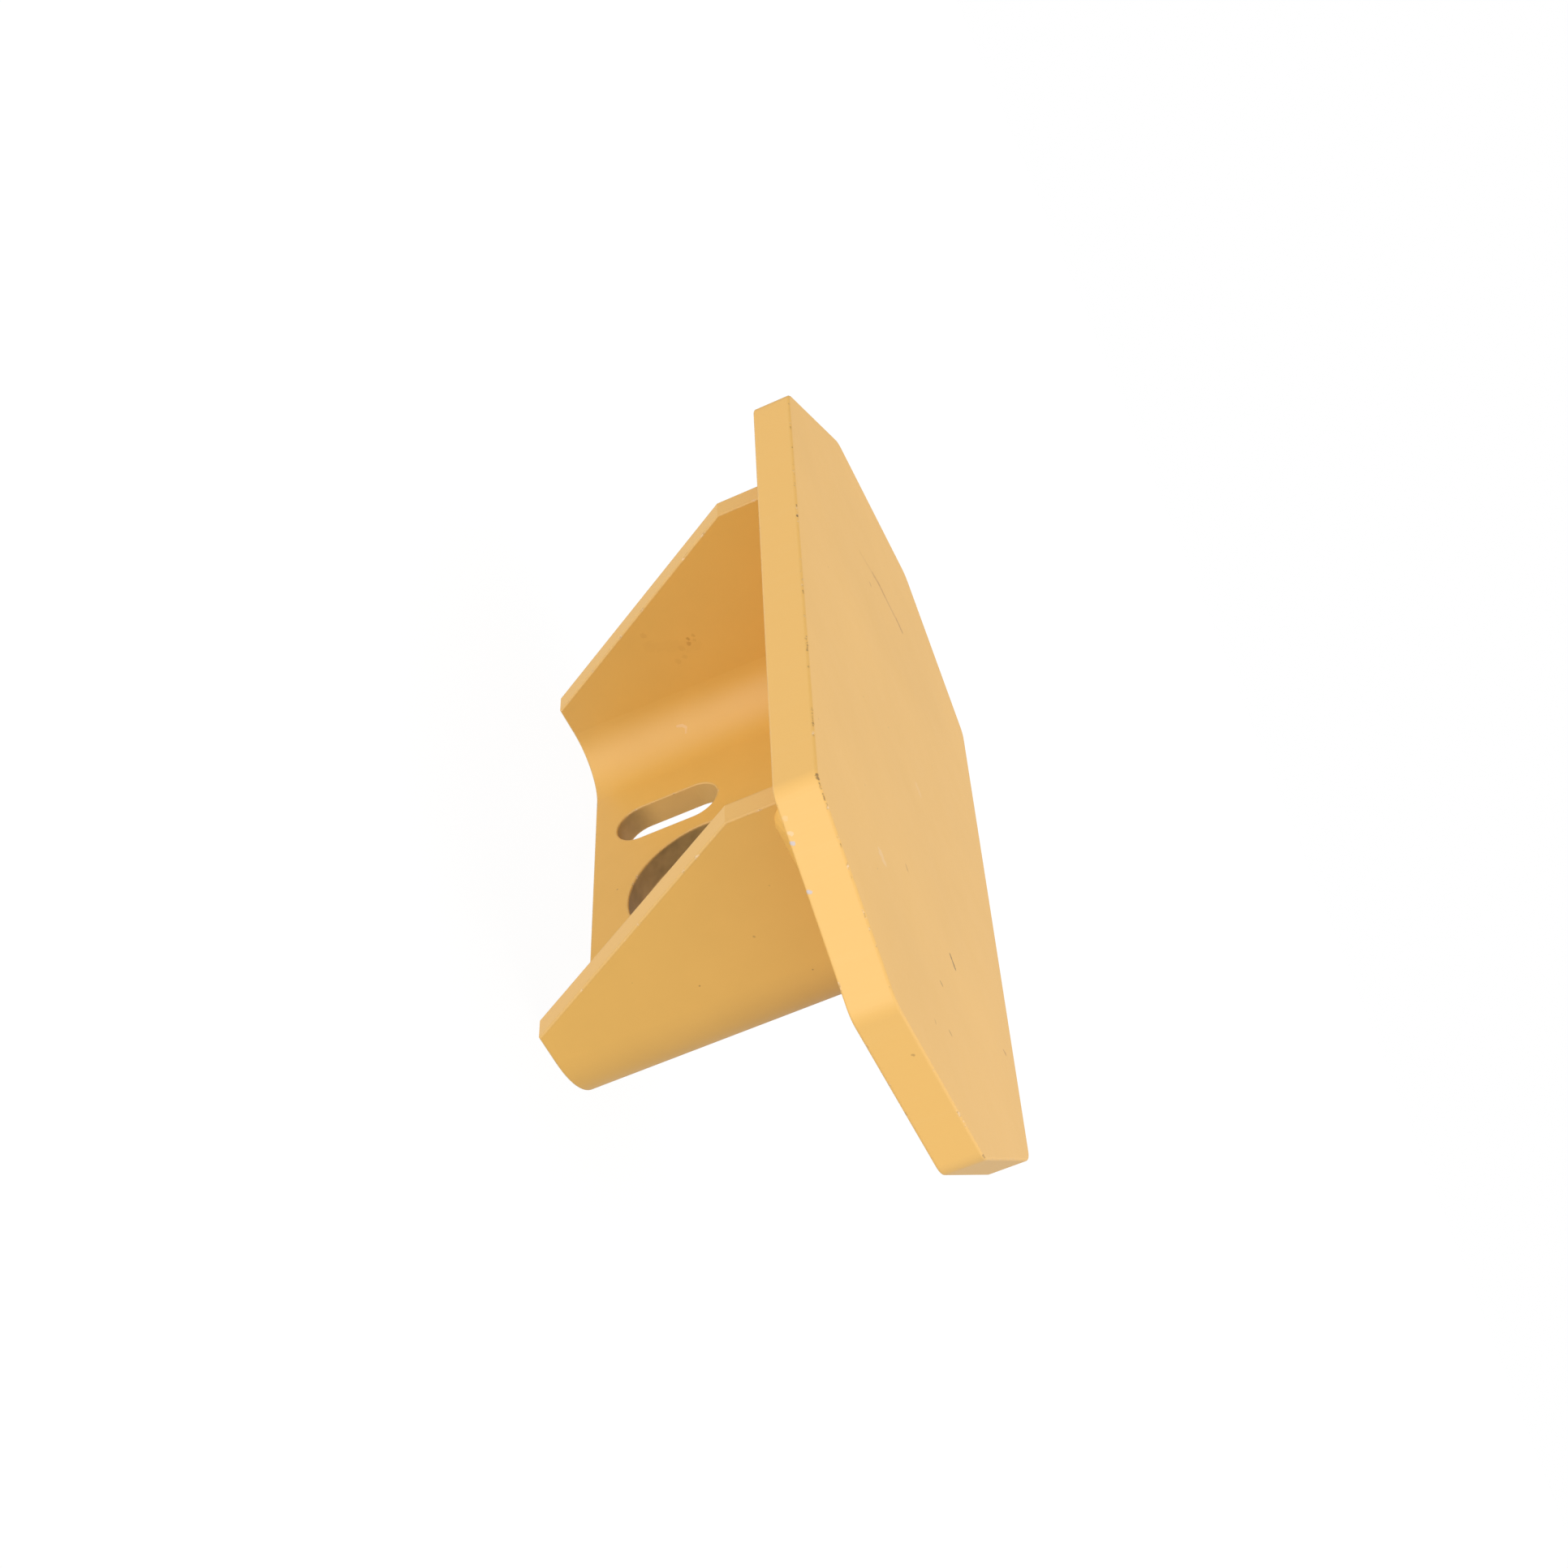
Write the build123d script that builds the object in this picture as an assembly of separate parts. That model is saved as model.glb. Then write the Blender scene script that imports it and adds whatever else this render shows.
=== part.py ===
from build123d import *
import os

# Welded end-plate bracket. Millimetres, +Z up.
# The channel stands on its lower end at Z 0 and carries the level end plate on its upper end.
# The Z axis runs through the plate's centre. The web's flat outer face looks along +Y,
# the channel is open towards -Y, and the YZ plane is the plane of symmetry.

# End plate
PLATE_LENGTH = 360.0            # along X
PLATE_DEPTH = 170.0             # along Y
PLATE_THICKNESS = 15.0
PLATE_CORNER_CUT = 51.0         # each corner is cut off at 45 degrees by this much along both sides
PLATE_CORNER_RADIUS = 9.0       # the eight corners of the outline
PLATE_EDGE_RADIUS = 1.0         # along the outline, on both faces
PLATE_CENTRE_TO_WEB = 26.5      # from the plate's centre back to the web's outer face

# Bent channel
CHANNEL_WIDTH = 210.0           # over both flanges
CHANNEL_HEIGHT = 116.0
CHANNEL_THICKNESS = 10.0
BEND_INSIDE_RADIUS = 20.0
FLANGE_DEPTH_AT_PLATE = 93.0    # from the web's outer face
FLANGE_DEPTH_AT_FOOT = 42.0     # from the web's outer face
FLANGE_STRAIGHT = 24.0          # how far below the plate the taper starts
CHANNEL_EDGE_RADIUS = 0.8       # along the cut outline, on both faces of the sheet

# Openings in the web
SLOT_WIDTH = 20.0
SLOT_LENGTH = 42.0              # end to end, along Z
SLOT_SPACING = 98.0             # between the two slots' centre lines
SLOT_CENTRE_HEIGHT = 30.5
WINDOW_DIAMETER = 62.0
WINDOW_CENTRE_HEIGHT = 46.0
OPENING_EDGE_RADIUS = 0.5

# Fillet welds outside the channel, against the plate's underside
WELD_LEG = 11.0
WELD_BULGE = 1.5                # how far the weld's face stands out beyond a straight one
WELD_END_RADIUS = 3.0           # the rounded end of a weld at the flange's front edge

# Worked out from the sizes above
WEB_OUTER_Y = PLATE_CENTRE_TO_WEB
FLANGE_OUTER_X = CHANNEL_WIDTH / 2
FLANGE_TIP_Y = WEB_OUTER_Y - FLANGE_DEPTH_AT_PLATE
FOOT_TIP_Y = WEB_OUTER_Y - FLANGE_DEPTH_AT_FOOT
TAPER_START_HEIGHT = CHANNEL_HEIGHT - FLANGE_STRAIGHT
BEND_OUTSIDE_RADIUS = BEND_INSIDE_RADIUS + CHANNEL_THICKNESS
BEND_CENTRE_X = FLANGE_OUTER_X - BEND_OUTSIDE_RADIUS
BEND_CENTRE_Y = WEB_OUTER_Y - BEND_OUTSIDE_RADIUS
FLANGE_MIDDLE_X = FLANGE_OUTER_X - CHANNEL_THICKNESS / 2
FLANGE_FLAT = BEND_CENTRE_Y - FLANGE_TIP_Y
WEB_MIDDLE = Plane.XZ.offset(CHANNEL_THICKNESS / 2 - WEB_OUTER_Y)
TOLERANCE = 0.01


def edges_at_height(solid, height):
    """The solid's edges that lie flat at this height."""
    return solid.edges().filter_by_position(Axis.Z, height, height)


def end_plate():
    """The octagonal plate, with rounded corners and softened edges."""
    outline = chamfer(Rectangle(PLATE_LENGTH, PLATE_DEPTH).vertices(), PLATE_CORNER_CUT)
    outline = fillet(outline.vertices(), PLATE_CORNER_RADIUS)
    plate = extrude(Pos(0, 0, CHANNEL_HEIGHT) * outline, PLATE_THICKNESS)
    rims = edges_at_height(plate, CHANNEL_HEIGHT) + edges_at_height(plate, CHANNEL_HEIGHT + PLATE_THICKNESS)
    return fillet(rims, PLATE_EDGE_RADIUS)


def u_section(width, tip_y, web_y, radius):
    """A rectangle seen from above, with its two corners on the web side rounded."""
    block = Pos(0, (tip_y + web_y) / 2) * Rectangle(width, web_y - tip_y)
    return fillet(block.vertices().group_by(Axis.Y)[-1], radius)


def is_cut_face(face):
    """True for the foot, the tapers and the flanges' front edges."""
    normal = face.normal_at()
    faces_down = normal.Z < -TOLERANCE
    faces_front = normal.Y < TOLERANCE - 1 and face.center().Y < BEND_CENTRE_Y
    return faces_down or faces_front


def cut_outline(channel):
    """The edges along the sheet's cut outline, on both of its faces, apart from its welded end."""
    return channel.faces().filter_by(is_cut_face).edges().filter_by(
        lambda edge: abs(abs(edge.center().X) - FLANGE_MIDDLE_X) > TOLERANCE)


def web_openings():
    """The cutters of the two bolt slots and of the large round window."""
    cutters = Pos(0, WINDOW_CENTRE_HEIGHT) * Circle(WINDOW_DIAMETER / 2)
    for x in (-SLOT_SPACING / 2, SLOT_SPACING / 2):
        cutters += Pos(x, SLOT_CENTRE_HEIGHT) * Rot(0, 0, 90) * SlotOverall(SLOT_LENGTH, SLOT_WIDTH)
    return extrude(WEB_MIDDLE * cutters, CHANNEL_THICKNESS, both=True)


def bent_channel():
    """One sheet bent twice to a U, with both flanges tapered towards the foot."""
    outside = u_section(CHANNEL_WIDTH, FLANGE_TIP_Y, WEB_OUTER_Y, BEND_OUTSIDE_RADIUS)
    inside = u_section(
        CHANNEL_WIDTH - 2 * CHANNEL_THICKNESS, FLANGE_TIP_Y, WEB_OUTER_Y - CHANNEL_THICKNESS, BEND_INSIDE_RADIUS)
    channel = extrude(outside - inside, CHANNEL_HEIGHT)
    taper = make_face(Polyline(
        (FLANGE_TIP_Y, TAPER_START_HEIGHT), (FLANGE_TIP_Y, 0), (FOOT_TIP_Y, 0), close=True))
    channel -= extrude(Plane.YZ * taper, CHANNEL_WIDTH, both=True)
    channel = fillet(cut_outline(channel), CHANNEL_EDGE_RADIUS)
    channel -= web_openings()
    web_faces = channel.faces().filter_by(Axis.Y).sort_by(SortBy.AREA)[-2:]
    mouths = [edge for face in web_faces for wire in face.inner_wires() for edge in wire.edges()]
    return fillet(mouths, OPENING_EDGE_RADIUS)


def weld_section():
    """A fillet weld's section: legs along +X on the plate and down along -Y on the channel."""
    outline = Line((0, -WELD_LEG), (0, 0)) + Line((0, 0), (WELD_LEG, 0))
    middle = WELD_LEG / 2 + WELD_BULGE / 2 ** 0.5
    outline += ThreePointArc((WELD_LEG, 0), (middle, -middle), (0, -WELD_LEG))
    return make_face(outline)


def flange_weld(side):
    """The weld down one flange and round its bend; side is 1 for +X and -1 for -X."""
    front = Plane((FLANGE_OUTER_X, FLANGE_TIP_Y, CHANNEL_HEIGHT), x_dir=(1, 0, 0), z_dir=(0, -1, 0))
    straight = extrude(front * weld_section(), -FLANGE_FLAT)
    nose = straight.faces().sort_by(Axis.Y)[0].edges().filter_by(GeomType.CIRCLE)
    straight = fillet(nose, WELD_END_RADIUS)
    bend_start = front.offset(-FLANGE_FLAT)
    bend_axis = Axis((BEND_CENTRE_X, BEND_CENTRE_Y, 0), (0, 0, 1))
    weld = straight + revolve(bend_start * weld_section(), bend_axis, 90)
    return weld if side > 0 else weld.mirror(Plane.YZ)


def web_weld():
    """The weld across the web's outer face, between the two bends."""
    start = Plane((-BEND_CENTRE_X, WEB_OUTER_Y, CHANNEL_HEIGHT), x_dir=(0, 1, 0), z_dir=(1, 0, 0))
    return extrude(start * weld_section(), 2 * BEND_CENTRE_X)


SUB_PARTS = {
    "end_plate": end_plate(),
    "bent_channel": bent_channel(),
    "left_flange_weld": flange_weld(-1),
    "right_flange_weld": flange_weld(1),
    "web_weld": web_weld(),
}

os.makedirs("parts", exist_ok=True)
for name, shape in SUB_PARTS.items():
    export_step(shape, f"parts/{name}.step")
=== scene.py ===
"""Visual model of the welded end-plate bracket: painted plate, bent channel and welds in a studio."""

import logging
import math
from dataclasses import dataclass
from enum import Enum
from typing import Any, Mapping, Sequence, Union

import bmesh
import bpy
from mathutils import Matrix, Vector


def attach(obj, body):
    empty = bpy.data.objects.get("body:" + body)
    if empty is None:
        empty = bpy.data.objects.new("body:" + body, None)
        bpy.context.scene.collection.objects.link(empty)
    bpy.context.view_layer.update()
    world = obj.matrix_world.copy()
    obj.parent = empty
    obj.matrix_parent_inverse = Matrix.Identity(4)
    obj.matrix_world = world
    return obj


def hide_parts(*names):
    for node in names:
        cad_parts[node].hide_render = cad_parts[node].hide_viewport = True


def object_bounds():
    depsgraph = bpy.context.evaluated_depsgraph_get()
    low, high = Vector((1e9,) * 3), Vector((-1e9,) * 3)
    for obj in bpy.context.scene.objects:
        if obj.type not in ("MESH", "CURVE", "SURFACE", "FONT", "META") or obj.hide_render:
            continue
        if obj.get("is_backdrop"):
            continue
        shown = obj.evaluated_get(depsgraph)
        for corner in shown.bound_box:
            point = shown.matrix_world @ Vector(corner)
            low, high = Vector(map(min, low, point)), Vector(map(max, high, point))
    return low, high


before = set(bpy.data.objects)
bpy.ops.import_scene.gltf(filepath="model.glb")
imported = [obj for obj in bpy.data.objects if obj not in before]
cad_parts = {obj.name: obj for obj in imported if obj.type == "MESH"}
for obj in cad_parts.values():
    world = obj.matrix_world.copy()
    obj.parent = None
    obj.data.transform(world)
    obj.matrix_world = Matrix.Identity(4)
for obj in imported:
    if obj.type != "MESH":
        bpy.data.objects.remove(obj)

LOG = logging.getLogger("bracket")
MM = 0.001
MARK_CORE = 0.35            # shares of a mark's width: where it starts to fade and where it ends
MARK_END = 0.65
SEED_STEP = (37.0, 91.0, 53.0)  # how far one seed moves a pattern, in millimetres
FAR_AWAY = 100.0            # a distance beyond reach of any worn edge, in millimetres

Colour = tuple[float, float, float]
Point = tuple[float, float, float]
Feed = Union["Signal", float, int, bool, Sequence[float], bpy.types.ID]


# ---------------------------------------------------------------------------------------------
# Node trees written as expressions
# ---------------------------------------------------------------------------------------------


@dataclass(frozen=True, eq=False)
class Signal:
    """An output socket of a node tree; Python's operators on it add Math nodes."""

    bench: "Bench"
    socket: bpy.types.NodeSocket

    def __add__(self, other: Feed) -> "Signal":
        """Sum."""
        return self.bench.math("ADD", self, other)

    def __sub__(self, other: Feed) -> "Signal":
        """Difference."""
        return self.bench.math("SUBTRACT", self, other)

    def __mul__(self, other: Feed) -> "Signal":
        """Product."""
        return self.bench.math("MULTIPLY", self, other)

    def __truediv__(self, other: Feed) -> "Signal":
        """Quotient."""
        return self.bench.math("DIVIDE", self, other)

    def __radd__(self, other: Feed) -> "Signal":
        """Sum with a number on the left."""
        return self.bench.math("ADD", other, self)

    def __rsub__(self, other: Feed) -> "Signal":
        """A number less this."""
        return self.bench.math("SUBTRACT", other, self)

    def __rmul__(self, other: Feed) -> "Signal":
        """Product with a number on the left."""
        return self.bench.math("MULTIPLY", other, self)

    def __rtruediv__(self, other: Feed) -> "Signal":
        """A number over this."""
        return self.bench.math("DIVIDE", other, self)

    def __pow__(self, exponent: Feed) -> "Signal":
        """Power."""
        return self.bench.math("POWER", self, exponent)

    def __abs__(self) -> "Signal":
        """Size without sign."""
        return self.bench.math("ABSOLUTE", self)

    def at_least(self, low: Feed) -> "Signal":
        """The larger of this and low."""
        return self.bench.math("MAXIMUM", self, low)

    def at_most(self, high: Feed) -> "Signal":
        """The smaller of this and high."""
        return self.bench.math("MINIMUM", self, high)

    def clamped(self) -> "Signal":
        """This, held between 0 and 1."""
        return self.at_least(0.0).at_most(1.0)

    def rise(self, low: Feed, high: Feed) -> "Signal":
        """A smooth step.

        Args:
            low: The value at which the step begins.
            high: The value at which the step is complete.

        Returns:
            0 up to low, 1 from high on, and a smooth rise between them.
        """
        return self.bench.add(
            "ShaderNodeMapRange",
            {"interpolation_type": "SMOOTHSTEP"},
            {"Value": self, "From Min": low, "From Max": high},
            "Result",
        )

    def fall(self, low: Feed, high: Feed) -> "Signal":
        """1 up to low, 0 from high on, and a smooth fall between them."""
        return 1 - self.rise(low, high)

    def sibling(self, output: str) -> "Signal":
        """Another output of the node that this one comes from."""
        return Signal(self.bench, self.bench.pick(self.socket.node.outputs, output))


class Bench:
    """Adds nodes to one shader or geometry tree."""

    def __init__(self, tree: bpy.types.NodeTree) -> None:
        """Starts work on a tree.

        Args:
            tree: The node tree that gets the nodes.
        """
        self.tree = tree

    @staticmethod
    def pick(sockets: Any, key: str | int) -> bpy.types.NodeSocket:
        """Finds a socket.

        Args:
            sockets: A node's inputs or outputs.
            key: The socket's index, or its identifier or name among the sockets in use.

        Returns:
            The socket.
        """
        if isinstance(key, int):
            return sockets[key]
        usable = [socket for socket in sockets if socket.enabled]
        return next(
            socket
            for word in ("identifier", "name")
            for socket in usable
            if getattr(socket, word) == key
        )

    def add(
        self,
        kind: str,
        settings: Mapping[str, Any] | None = None,
        inputs: Mapping[str | int, Feed] | None = None,
        output: str | int = 0,
    ) -> Signal:
        """Adds a node of any type.

        Args:
            kind: The node's type.
            settings: Its own properties, set first; "captures" names what a capture node keeps.
            inputs: The value or link of each socket that isn't left at its default.
            output: The output to hand back.

        Returns:
            That output.
        """
        node = self.place(kind, settings or {}, inputs or {})
        return Signal(self, self.pick(node.outputs, output))

    def place(
        self, kind: str, settings: Mapping[str, Any], inputs: Mapping[str | int, Feed]
    ) -> bpy.types.Node:
        """Adds a node of any type, also one without outputs.

        Args:
            kind: The node's type.
            settings: Its own properties, as for add.
            inputs: The values or links of its sockets, as for add.

        Returns:
            The node itself.
        """
        node = self.tree.nodes.new(kind)
        for name, value in settings.items():
            if name == "captures":
                for item_name, item_type in value.items():
                    node.capture_items.new(item_type, item_name)
            else:
                setattr(node, name, value)
        for key, value in inputs.items():
            self.feed(self.pick(node.inputs, key), value)
        return node

    def feed(self, socket: bpy.types.NodeSocket, value: Feed) -> None:
        """Links or sets one input.

        Args:
            socket: The input.
            value: A signal to link, or the value to set.
        """
        if isinstance(value, Signal):
            self.tree.links.new(value.socket, socket)
        elif socket.type == "RGBA" and len(value) == 3:
            socket.default_value = (*value, 1.0)
        else:
            socket.default_value = value

    def math(self, operation: str, *values: Feed) -> Signal:
        """A Math node on one to three values."""
        return self.add("ShaderNodeMath", {"operation": operation}, dict(enumerate(values)))

    def vector(self, operation: str, *values: Feed, output: str = "Vector") -> Signal:
        """A Vector Math node on vectors."""
        settings = {"operation": operation}
        return self.add("ShaderNodeVectorMath", settings, dict(enumerate(values)), output)

    def scaled(self, vector: Signal, factor: Feed) -> Signal:
        """A vector times a number."""
        inputs = {"Vector": vector, "Scale": factor}
        return self.add("ShaderNodeVectorMath", {"operation": "SCALE"}, inputs)

    def combine(self, x: Feed = 0.0, y: Feed = 0.0, z: Feed = 0.0) -> Signal:
        """A vector from its three parts."""
        return self.add("ShaderNodeCombineXYZ", None, {"X": x, "Y": y, "Z": z})

    def split(self, vector: Signal) -> tuple[Signal, Signal, Signal]:
        """The three parts of a vector."""
        x = self.add("ShaderNodeSeparateXYZ", None, {"Vector": vector}, "X")
        return x, x.sibling("Y"), x.sibling("Z")

    def mix(self, factor: Feed, first: Feed, second: Feed) -> Signal:
        """Mixes two colours.

        Args:
            factor: How much of the second, from 0 to 1.
            first: A colour.
            second: A colour.

        Returns:
            The mixed colour.
        """
        return self.add(
            "ShaderNodeMix",
            {"data_type": "RGBA"},
            {"Factor_Float": factor, "A_Color": first, "B_Color": second},
            "Result_Color",
        )

    def noise(
        self, place: Signal, scale: float, detail: float = 2.0, roughness: float = 0.5
    ) -> Signal:
        """Fractal noise about 0.5.

        Args:
            place: Where it is read.
            scale: Its cells for each unit of place.
            detail: How many finer layers it has.
            roughness: How strong the finer layers are.

        Returns:
            The noise's value.
        """
        return self.add(
            "ShaderNodeTexNoise",
            None,
            {"Vector": place, "Scale": scale, "Detail": detail, "Roughness": roughness},
        )


# ---------------------------------------------------------------------------------------------
# Finishes
# ---------------------------------------------------------------------------------------------


class Tone(Enum):
    """What shows where the paint is marked."""

    DARK = "grime pressed into a nick"
    STEEL = "bright bare steel"
    RUBBED = "paint rubbed pale"
    STAINED = "paint stained a little darker"


@dataclass(frozen=True)
class Mark:
    """A nick, chip or scratch between two points in millimetres."""

    start: Point
    end: Point
    width: float
    tone: Tone
    strength: float
    ragged: float

    def mask(self, bench: Bench, place: Signal, rough: Signal) -> Signal:
        """Where the mark lies.

        Args:
            bench: The tree.
            place: The position in millimetres.
            rough: Noise about 0.5 that makes its outline ragged.

        Returns:
            1 within the mark and 0 away from it.
        """
        start = Vector(self.start)
        run = Vector(self.end) - start
        from_start = bench.vector("SUBTRACT", place, tuple(start))
        if run.length > 0:
            along = bench.vector("DOT_PRODUCT", from_start, tuple(run / run.length_squared), output="Value")
            nearest = bench.scaled(bench.combine(*run), along.clamped())
            from_start = bench.vector("SUBTRACT", from_start, nearest)
        distance = bench.vector("LENGTH", from_start, output="Value")
        distance = distance + (rough - 0.5) * (2 * self.ragged * self.width)
        return distance.fall(MARK_CORE * self.width, MARK_END * self.width) * self.strength


@dataclass(frozen=True)
class Wear:
    """Where a painted piece is worn, and where shade is painted on it, as signals over its surface."""

    edge_distance: Signal | None
    cut_face: Signal | None
    marks: tuple[Mark, ...] = ()
    crease: Signal | None = None
    # painted shade in the walls of the channel's cut openings
    painted_shade: Signal | None = None


@dataclass(frozen=True)
class Enamel:
    """Satin machine enamel on primed steel, in linear colours and millimetres."""

    body: Colour = (0.70, 0.397, 0.087)
    deep: Colour = (0.63, 0.353, 0.072)
    pale: Colour = (0.76, 0.48, 0.16)
    cut: Colour = (0.77, 0.453, 0.126)
    edge: Colour = (0.56, 0.33, 0.088)
    stain: Colour = (0.42, 0.20, 0.032)
    steel: Colour = (0.48, 0.46, 0.50)
    primer: Colour = (0.80, 0.66, 0.55)
    grime: Colour = (0.10, 0.052, 0.022)
    # dark brown painted shade for the walls of the cut openings
    shade_colour: Colour = (0.125, 0.072, 0.012)
    roughness: float = 0.42
    gloss_drift: float = 0.18
    gloss_grain: float = 0.04
    chip_roughness: float = 0.55
    # roughness added where shade is painted in the openings
    shade_roughness: float = 0.25
    cloudiness: float = 0.55
    broad_size: float = 95.0
    broad_share: float = 1.3
    cloud_size: float = 17.0
    middle_shade: float = 0.40
    grain_size: float = 1.1
    ragged_size: float = 1.6
    peel_size: float = 2.2
    peel_height: float = 0.014
    nib_spacing: float = 13.0
    nib_edge: tuple[float, float] = (0.012, 0.034)
    nib_raggedness: float = 0.03
    nib_luck: tuple[float, float] = (0.70, 0.74)
    nib_share: float = 0.45
    nib_height: float = 0.03
    cut_share: float = 0.9
    streak_size: float = 0.9
    streak_squeeze: float = 0.06
    slow_streak_size: float = 6.5
    slow_streak_squeeze: float = 0.15
    streak_height: float = 0.03
    crease_share: float = 0.35
    worn_edge: float = 1.2
    edge_share: float = 0.6
    chip_size: float = 3.2
    chip_luck: tuple[float, float] = (0.60, 0.64)
    chip_share: float = 0.5
    chip_depth: float = 0.05
    nick_depth: float = 0.06
    steel_metal: float = 0.3

    def material(self, name: str, bench: Bench, place: Signal, wear: Wear, seed: float) -> None:
        """Builds the finish's nodes on a material's tree.

        Args:
            name: The piece's name, for the log.
            bench: The material's tree, with an empty graph.
            place: The position in millimetres.
            wear: Where the piece is worn.
            seed: Moves every pattern to another part of its noise.
        """
        drift = bench.vector("ADD", place, tuple(seed * step for step in SEED_STEP))
        broad = bench.noise(drift, 1 / self.broad_size, roughness=0.55)
        cloud = bench.noise(drift, 1 / self.cloud_size, detail=3.0, roughness=0.6)
        grain = bench.noise(drift, 1 / self.grain_size, roughness=0.6)
        ragged = bench.noise(drift, 1 / self.ragged_size, detail=3.0, roughness=0.65)

        shade = (broad - 0.5) * self.broad_share + (cloud - 0.5) * self.cloudiness
        shade = (shade + self.middle_shade).clamped()
        colour = bench.mix(shade, self.body, self.deep)
        rough = self.roughness + (cloud - 0.5) * (self.gloss_drift * self.cloudiness)
        rough = rough + (grain - 0.5) * self.gloss_grain
        height = bench.noise(drift, 1 / self.peel_size, detail=1.0, roughness=0.4) * self.peel_height
        metal: Signal | float = 0.0

        nibs = bench.add(
            "ShaderNodeTexVoronoi",
            {"feature": "F1"},
            {"Vector": drift, "Scale": 1 / self.nib_spacing, "Randomness": 1.0},
            "Distance",
        )
        chance = bench.split(nibs.sibling("Color"))[0]
        specks = (nibs + (ragged - 0.5) * self.nib_raggedness).fall(*self.nib_edge)
        specks = specks * chance.rise(*self.nib_luck)
        colour = bench.mix(specks * self.nib_share, colour, self.grime)
        height = height + specks * self.nib_height

        if wear.cut_face is not None:
            x, y, z = bench.split(drift)
            upright = bench.combine(x, y, z * self.streak_squeeze)
            lines = bench.noise(upright, 1 / self.streak_size, roughness=0.7)
            upright = bench.combine(x, y, z * self.slow_streak_squeeze)
            slow = bench.noise(upright, 1 / self.slow_streak_size)
            colour = bench.mix(wear.cut_face * self.cut_share, colour, self.cut)
            tint = wear.cut_face * ((lines - 0.5) * 0.35 + (slow - 0.5) * 0.5).clamped()
            colour = bench.mix(tint, colour, self.pale)
            height = height + wear.cut_face * ((lines - 0.5) + (slow - 0.5) * 0.8) * self.streak_height

        if wear.crease is not None:
            colour = bench.mix(wear.crease * self.crease_share, colour, self.deep)
        # painted shade: the walls of the openings are darkened and made rougher
        if wear.painted_shade is not None:
            shade_share = wear.painted_shade * (0.8 + (cloud - 0.5) * 0.8).clamped()
            colour = bench.mix(shade_share, colour, self.shade_colour)
            rough = rough + shade_share * self.shade_roughness

        if wear.edge_distance is not None:
            edge = wear.edge_distance
            thin = (edge + (ragged - 0.5) * 0.8).fall(0.3, self.worn_edge)
            colour = bench.mix(thin * self.edge_share, colour, self.edge)
            luck = bench.noise(drift, 1 / self.chip_size, roughness=0.6)
            chips = (edge + (ragged - 0.5) * 1.5).fall(0.5, 1.0) * luck.rise(*self.chip_luck)
            chips = chips * self.chip_share
            colour = bench.mix(chips, colour, bench.mix(grain.rise(0.4, 0.6), self.grime, self.primer))
            height = height - chips * self.chip_depth

        paints = {Tone.DARK: self.grime, Tone.STEEL: self.steel, Tone.RUBBED: self.primer,
                  Tone.STAINED: self.stain}
        for tone, paint in paints.items():
            chosen = [mark for mark in wear.marks if mark.tone is tone]
            if not chosen:
                continue
            mask = chosen[0].mask(bench, place, ragged)
            for mark in chosen[1:]:
                mask = mask.at_least(mark.mask(bench, place, ragged))
            colour = bench.mix(mask, colour, paint)
            if tone is Tone.STEEL:
                metal = mask * self.steel_metal
            if tone in (Tone.STEEL, Tone.DARK):
                height = height - mask * self.nick_depth
                rough = rough + mask * (self.chip_roughness - self.roughness)

        bump = bench.add(
            "ShaderNodeBump",
            None,
            {"Strength": 1.0, "Distance": MM, "Height": height},
        )
        shader = bench.add(
            "ShaderNodeBsdfPrincipled",
            None,
            {"Base Color": colour, "Roughness": rough, "Metallic": metal, "Normal": bump,
             "IOR": 1.5, "Coat Weight": 0.0},
        )
        bench.place("ShaderNodeOutputMaterial", {}, {"Surface": shader})
        LOG.info("%s: %d shader nodes", name, len(bench.tree.nodes))


def painted(name: str) -> tuple[bpy.types.Material, Bench, Signal]:
    """Starts a material.

    Args:
        name: The material's name.

    Returns:
        The material, its empty tree and the object position in millimetres.
    """
    material = bpy.data.materials.new(name)
    material.use_nodes = True
    material.node_tree.nodes.clear()
    bench = Bench(material.node_tree)
    place = bench.scaled(bench.add("ShaderNodeTexCoord", output="Object"), 1 / MM)
    return material, bench, place


# ---------------------------------------------------------------------------------------------
# Sub-assemblies
# ---------------------------------------------------------------------------------------------


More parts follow.
